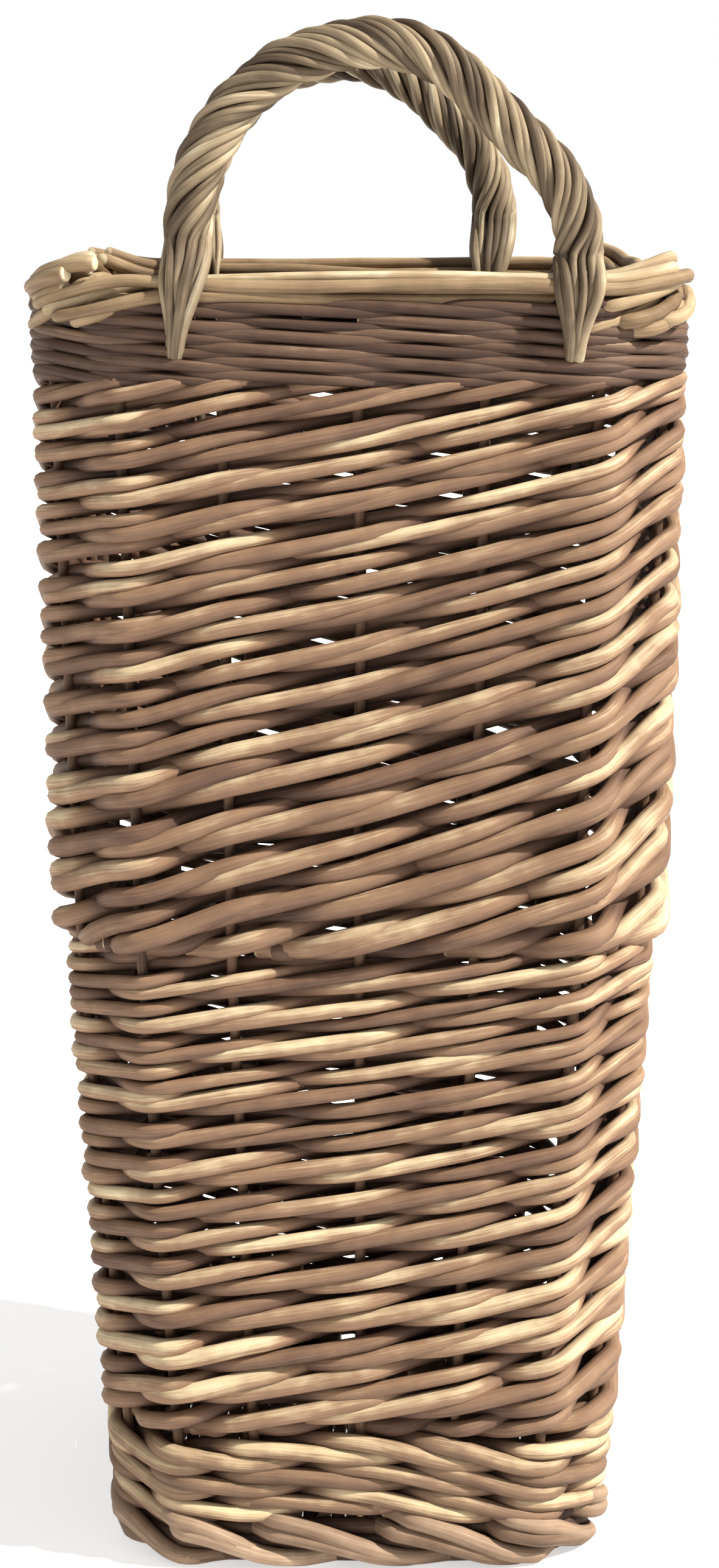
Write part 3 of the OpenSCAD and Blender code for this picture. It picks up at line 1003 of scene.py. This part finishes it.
@dataclass
class Arch:
    """A bow's middle line: on each side two eighths of a circle, with a flat between them.

    The flat slopes at half a right angle, so it takes a share DIAGONAL of its length both ways.

    Sizes are in millimetres, in the handle's frame: x to the right, z up from the rim.
    """

    half: float
    apex: float
    shift: float
    flats: tuple[float, float]

    @staticmethod
    def half_way(dist: Array, span: float, flat: float) -> tuple[Array, Array, Array]:
        """Returns x, drop and facing at distances from the apex down one side."""
        r = span - flat * DIAGONAL
        on_flat = np.clip(dist - r * math.pi / 4, 0.0, flat)
        facing = math.pi / 2 - (dist - on_flat) / r
        x = r * np.cos(facing) + on_flat * DIAGONAL
        return x, r * np.sin(facing) - r - on_flat * DIAGONAL, facing

    def along(self, step: Array) -> tuple[Array, Array, Array]:
        """Works out the arch at shares of its length from the left leg to the right one.

        Args:
            step: Shares of the length, 0 to 1.

        Returns:
            The points' x and z, and the outward direction's angle there.
        """
        left, right = self.half + self.shift, self.half - self.shift
        long_l, long_r = ((span - flat * DIAGONAL) * math.pi / 2 + flat
                          for span, flat in zip((left, right), self.flats))
        dist = step * (long_l + long_r) - long_l
        xl, zl, fl = self.half_way(np.maximum(-dist, 0.0), left, self.flats[0])
        xr, zr, fr = self.half_way(np.maximum(dist, 0.0), right, self.flats[1])
        on_left = dist < 0
        return (np.where(on_left, -xl, xr) + self.shift, np.where(on_left, zl, zr) + self.apex,
                np.where(on_left, math.pi - fl, fr))


@dataclass
class Handle:
    """A rigid arched handle: rods wrapped round a bow like a rope, drawn together below it.

    A wrapping rod is a helix round the arch's middle line. The rods lie in bunches, so the
    rope is lumpy. At each leg they pass over the border, outside it or inside it, and draw
    together to where they are tucked into the weave.
    """

    wall: Wall
    end: End
    node: str
    twist_turns: float
    shift: float
    flats: tuple[float, float]
    # How far the lower ends lie to the right of the left and the right leg, outside and inside
    outer_slant: tuple[float, float]
    inner_slant: tuple[float, float]
    bunches: int = 6
    rods_in_bunch: int = 2
    # How far apart a bunch's rods lie, over the bunches' pitch, and how much further out each is
    bunch_spread: float = 0.42
    bunch_step: float = 0.9
    # How far the rods are pressed into the bow, and how they stray out and round it
    pressed: float = 0.6
    stray_out: float = 0.7
    stray_round: float = 0.10
    # How much a rod's thickness and its painted highlight vary along it
    ripple: float = 0.08
    painted_light_ripple: float = 0.35
    rod_d: float = 4.9
    bow_d: float = 13.5
    drop: float = 42.0
    border_depth: float = 18.0
    wale_depth: float = 14.5
    # Height of the border, and how deep in the weave a tail ends
    border_height: float = 14.0
    tucked: float = 6.0
    # Distance between the tails where they start and end, over a rod's size, and their turn
    tail_widths: tuple[float, float] = (0.84, 0.30)
    tail_turn: float = math.radians(55.0)
    # How far out a rod lies that rests on two others, over its size
    on_top: float = 0.55
    arch_points: int = 130
    tail_points: int = 22

    def arch(self) -> tuple[Arch, float, float, float]:
        """Reads the arch, the handle's middle, its plane and its lean from the bow's box."""
        low, high = np.array(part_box(self.node + "_bow")) / MM
        lean = math.atan((self.wall.halves[2] - self.wall.halves[1])
                         / (self.wall.heights[2] - self.wall.heights[1]))
        half = (high[0] - low[0] - self.bow_d) / 2
        apex = (high[2] - top_of("border_front") - self.bow_d / 2) / math.cos(lean)
        deep = low[1] if self.end is End.FRONT else high[1]
        plane = abs(deep) - self.bow_d / 2 - math.sin(lean) * apex
        return Arch(half, apex, self.shift, self.flats), (high[0] + low[0]) / 2, plane, lean

    def build(self) -> None:
        """Makes the handle's wrapping in two pieces and dresses its bow."""
        rng = np.random.default_rng(SEED + (29 if self.end is End.FRONT else 31))
        arch, middle, plane, lean = self.arch()
        rods = self.bunches * self.rods_in_bunch
        bunch, inner = np.divmod(np.arange(rods)[:, None], self.rods_in_bunch)
        pitch = 2 * math.pi / self.bunches
        phase = (bunch + 0.5) * pitch + (inner - 0.5) * pitch * self.bunch_spread
        step = np.linspace(0.0, 1.0, self.arch_points)[None] + np.zeros((rods, 1))
        helix = self.bow_d / 2 + self.rod_d / 2 - self.pressed + self.bunch_step * inner
        helix = helix + slow_noise(rng, step, 0.09) * self.stray_out
        around = phase + 2 * math.pi * self.twist_turns * step
        around = around + self.stray_round * slow_noise(rng, step, 0.12)
        x, z, ray = arch.along(step)
        swing = helix * np.cos(around)
        path = np.stack([x - swing * np.cos(ray), helix * np.sin(around),
                         z - swing * np.sin(ray)], axis=-1)
        outward = np.stack([-np.cos(around) * np.cos(ray), np.sin(around),
                            -np.cos(around) * np.sin(ray)], axis=-1)
        first, first_out = self.tails(path[:, 0], -arch.half, 0)
        last, last_out = self.tails(path[:, -1], arch.half, 1)
        path = soften(np.concatenate([first[:, ::-1], path, last], axis=1), 4)
        guide = np.concatenate([first_out[:, ::-1], outward, last_out], axis=1)
        wave = slow_noise(rng, np.arange(path.shape[1])[None] + np.zeros((rods, 1)), 9.0)
        thick = self.rod_d / 2 * rng.uniform(0.72, 1.12, (rods, 1)) * (1 + self.ripple * wave)
        # Painted highlight whose strength varies along each rod
        painted_light = 0.5 + self.painted_light_ripple * wave
        tubes = Tubes(self.stand(path, lean, plane, middle), thick,
                      self.stand(guide, 0.0, None, 0.0), rng.uniform(0, 1, rods), painted_light, 10)
        for half, letter, place in zip(tubes.split(2), "ab", ("outer", "inner")):
            finish_piece(half.mesh(f"{self.node}_wrap_{letter}"), Willow.HANDLE,
                         f"{self.node}_{place}_wrap")
        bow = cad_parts[self.node + "_bow"]
        bow.data.materials.clear()
        bow.data.materials.append(BowFinish().material())

    def stand(self, path: Array, lean: float, plane: float | None, middle: float) -> Array:
        """Leans points back with the wall, moves them to the rim and turns them to their side.

        Args:
            path: Points, or directions, in the handle's frame.
            lean: The wall's lean.
            plane: Distance of the handle's plane from the middle, or None for directions.
            middle: The handle's middle across the basket.

        Returns:
            The points, or directions, in the basket's frame.
        """
        leaned = np.stack([
            path[..., 0],
            path[..., 1] * math.cos(lean) - path[..., 2] * math.sin(lean),
            path[..., 1] * math.sin(lean) + path[..., 2] * math.cos(lean)], axis=-1)
        if plane is not None:
            leaned = leaned + np.array([0.0, -plane, top_of("border_front")])
        c, s = math.cos(self.end.value), math.sin(self.end.value)
        return np.stack([leaned[..., 0] * c - leaned[..., 1] * s + middle,
                         leaned[..., 0] * s + leaned[..., 1] * c, leaned[..., 2]], axis=-1)

    def tails(self, joint: Array, leg: float, which: int) -> tuple[Array, Array]:
        """Works out where the wrapping rods leave the arch and pass over the border.

        Args:
            joint: Where each rod leaves the arch.
            leg: The leg's place across the handle.
            which: 0 for the left leg and 1 for the right one.

        Returns:
            The tails' points from the arch down, and the directions they face.
        """
        way = np.where(joint[:, 1] > 0, 1.0, -1.0)
        rods = len(joint)
        order = np.empty(rods)
        for side in (-1.0, 1.0):
            chosen = np.flatnonzero(way == side)
            rank = np.empty(len(chosen))
            rank[np.argsort(joint[chosen, 0])] = np.arange(len(chosen))
            order[chosen] = rank - (len(chosen) - 1) / 2
        layer = np.mod(np.round(order + 0.25), 2.0)[:, None]
        order = order[:, None]
        step = np.linspace(0.0, 1.0, self.tail_points)[None]
        width = self.rod_d * lerp(*self.tail_widths, smooth(step * 1.3 - 0.2))
        twist = self.tail_turn * smooth(step * 1.1)
        z = lerp(joint[:, 2:], -self.drop, step)
        slant = np.where(way < 0, self.outer_slant[which], self.inner_slant[which])[:, None]
        x = leg + slant * step + order * width * np.cos(twist)
        x = lerp(joint[:, :1], x, smooth(step * 2.6))
        below = smooth((-z - self.border_height) / self.border_height)
        hug = lerp(self.border_depth, self.wale_depth, below)
        hug = hug + layer * self.rod_d * self.on_top - abs(order) * 0.5
        over = smooth((joint[:, 2:] * 0.85 - z) / (joint[:, 2:] * 0.85 + 4.0))
        depth = lerp(abs(joint[:, 1:2]), hug, over)
        depth = lerp(depth, self.wale_depth - self.tucked, smooth(step * 6.0 - 5.0))
        points = np.stack([x, depth * way[:, None], z], axis=-1)[:, 1:]
        facing = np.zeros_like(points)
        facing[..., 1] = way[:, None]
        return points, facing


@dataclass(frozen=True)
class BowFinish:
    """The bow inside a handle: a peeled willow rod, brown, darkened with painted shade as it lies
    between its wrapping.
    """

    name: str = "peeled_willow_bow"
    colour: str = "#5f4d38"
    dark: str = "#43352a"
    grain_mm: float = 2.0

    def material(self) -> bpy.types.Material:
        """Returns the bow's material, with its grain across Object coordinates."""
        known = bpy.data.materials.get(self.name)
        if known:
            return known
        made = fresh_material(self.name)
        tree = made.node_tree
        where = add(tree, "ShaderNodeTexCoord", {}, {})
        noise = add(tree, "ShaderNodeTexNoise", {},
                    {"Vector": where.outputs["Object"], "Scale": 1.0 / (self.grain_mm * MM),
                     "Detail": 3.0})
        mixed = add(tree, "ShaderNodeMix", {"data_type": "RGBA"},
                    {0: noise.outputs["Fac"], 6: linear(self.dark), 7: linear(self.colour)})
        bump = add(tree, "ShaderNodeBump", {},
                   {"Height": noise.outputs["Fac"], "Distance": 0.3 * MM, "Strength": 0.6})
        skin = add(tree, "ShaderNodeBsdfPrincipled", {},
                   {"Base Color": mixed.outputs[2], "Roughness": 0.75, "Normal": bump.outputs[0]})
        add(tree, "ShaderNodeOutputMaterial", {}, {"Surface": skin.outputs[0]})
        return made


# ---- studio


@dataclass
class Studio:
    """A plain pale floor, soft light and a camera that looks down on the basket's front."""

    # The lens's focal length over the sensor's longer side
    focal_share: float = 1.926
    pitch_degrees: float = 11.05
    distance: float = 1370.0
    above_rim: float = 34.0
    sensor: float = 36.0
    key_place: tuple[float, float, float] = (3.0, -1.1, 3.2)
    fill_place: tuple[float, float, float] = (-2.2, -1.6, 1.4)
    # The height that the lights are aimed at, and the floor's reach, in metres
    aim_height: float = 0.35
    floor_reach: float = 12.0
    # The surroundings' light, less than the white that they show behind the basket
    sky_light: float = 0.42
    # How much light the floor gives by itself, which keeps the basket's shadow faint
    floor_glow: float = 0.55

    def floor(self) -> None:
        """Makes the floor: a wide pale sheet whose far part is the same plain white."""
        size = self.floor_reach
        data = bpy.data.meshes.new("floor")
        corners = [(-size, -size, 0), (size, -size, 0), (size, size, 0), (-size, size, 0)]
        data.from_pydata(corners, [], [(0, 1, 2, 3)])
        paint = bpy.data.materials.new("white_studio_floor")
        paint.use_nodes = True
        skin = paint.node_tree.nodes["Principled BSDF"]
        skin.inputs["Base Color"].default_value = linear("#f4f3f1")
        skin.inputs["Roughness"].default_value = 0.9
        skin.inputs["Emission Color"].default_value = linear("#ffffff")
        skin.inputs["Emission Strength"].default_value = self.floor_glow
        data.materials.append(paint)
        placed("floor", data)

    def lamp(self, name: str, kind: str, place: tuple[float, float, float], power: float,
             colour: str) -> bpy.types.Light:
        """Adds one light aimed at the basket's middle.

        Args:
            name: The light's name.
            kind: SUN or AREA.
            place: Where it stands, in metres.
            power: Its strength, in the kind's own unit.
            colour: Its colour.

        Returns:
            The light's data, whose size its caller sets.
        """
        data = bpy.data.lights.new(name, kind)
        data.energy = power
        data.color = linear(colour)[:3]
        lamp = placed(name, data)
        lamp.location = place
        aim = np.array([0.0, 0.0, self.aim_height]) - np.array(place)
        yaw = math.atan2(aim[0], -aim[1])
        tilt = math.atan2(math.hypot(aim[0], aim[1]), -aim[2])
        lamp.rotation_euler = (tilt, 0.0, math.pi + yaw)
        return data

    def lights(self) -> None:
        """Adds the key from the upper right, a weak fill and the pale surroundings."""
        key = self.lamp("key", "SUN", self.key_place, 6.6, "#fff9ee")
        key.angle = math.radians(2.5)
        fill = self.lamp("fill", "AREA", self.fill_place, 2.0, "#e9efff")
        fill.size = 2.0
        world = bpy.data.worlds.new("studio")
        world.use_nodes = True
        tree = world.node_tree
        sky = tree.nodes["Background"]
        sky.inputs["Color"].default_value = linear("#ffffff")
        sky.inputs["Strength"].default_value = self.sky_light
        seen = add(tree, "ShaderNodeBackground", {}, {"Color": linear("#ffffff"), "Strength": 1.0})
        ray = add(tree, "ShaderNodeLightPath", {}, {})
        both = add(tree, "ShaderNodeMixShader", {},
                   {0: ray.outputs["Is Camera Ray"], 1: sky.outputs[0], 2: seen.outputs[0]})
        tree.links.new(both.outputs[0], tree.nodes["World Output"].inputs["Surface"])
        bpy.context.scene.world = world

    def camera(self) -> None:
        """Adds the camera in front of the rim, a little above it and tilted down."""
        data = bpy.data.cameras.new("camera")
        data.sensor_width = self.sensor
        data.lens = self.sensor * self.focal_share
        eye = placed("camera", data)
        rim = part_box("border_front")[0][1] / MM
        eye.location = (0.0, (rim - self.distance) * MM,
                        (top_of("border_front") + self.above_rim) * MM)
        eye.rotation_euler = (math.radians(90.0 - self.pitch_degrees), 0.0, 0.0)
        bpy.context.scene.camera = eye

    def build(self) -> None:
        """Sets the scene."""
        self.floor()
        self.lights()
        self.camera()
        bpy.context.scene.view_settings.view_transform = "Standard"


def main() -> None:
    """Builds the basket from the foot up, then sets the scene."""
    logging.basicConfig(level=logging.INFO, format="%(name)s %(message)s")
    wall = Wall()
    Foot(wall).build()
    Base(wall).build()
    Stakes(wall).build()
    Wale(wall, "bottom_wale", rows=3, rod_d=8.9, proud=0.5, seed=SEED + 1, arch=8.0,
         corner_lift=1.5).build()
    Siding(wall, "lower_siding", rods=28, butt_spacing=7.3, tip_spacing=4.8, butt_d=9.1,
           tip_d=6.4, proud=0.8, lean_in=-0.5, seed=SEED + 2, pieces=7, tuck=3.0,
           corner_lift=4.0).build()
    Siding(wall, "upper_siding", rods=44, butt_spacing=8.0, tip_spacing=4.3, butt_d=10.1,
           tip_d=6.1, proud=2.0, lean_in=2.0, seed=SEED + 3, pieces=11, tuck=9.0,
           corner_lift=6.0).build()
    Wale(wall, "top_wale", rows=6, rod_d=5.8, proud=2.5, seed=SEED + 4, above=13.0,
         corner_lift=1.0, finish=Willow.TOP_WALE).build()
    Border(wall).build()
    Handle(wall, End.FRONT, "front_handle", twist_turns=3.2, shift=-4.0, flats=(0.0, 50.0),
           outer_slant=(-7.0, -3.0), inner_slant=(3.0, -22.0)).build()
    Handle(wall, End.BACK, "back_handle", twist_turns=2.9, shift=0.0, flats=(30.0, 0.0),
           outer_slant=(4.0, -4.0), inner_slant=(6.0, -6.0)).build()
    Studio().build()
    bpy.context.view_layer.update()


if __name__ == "__main__":
    main()
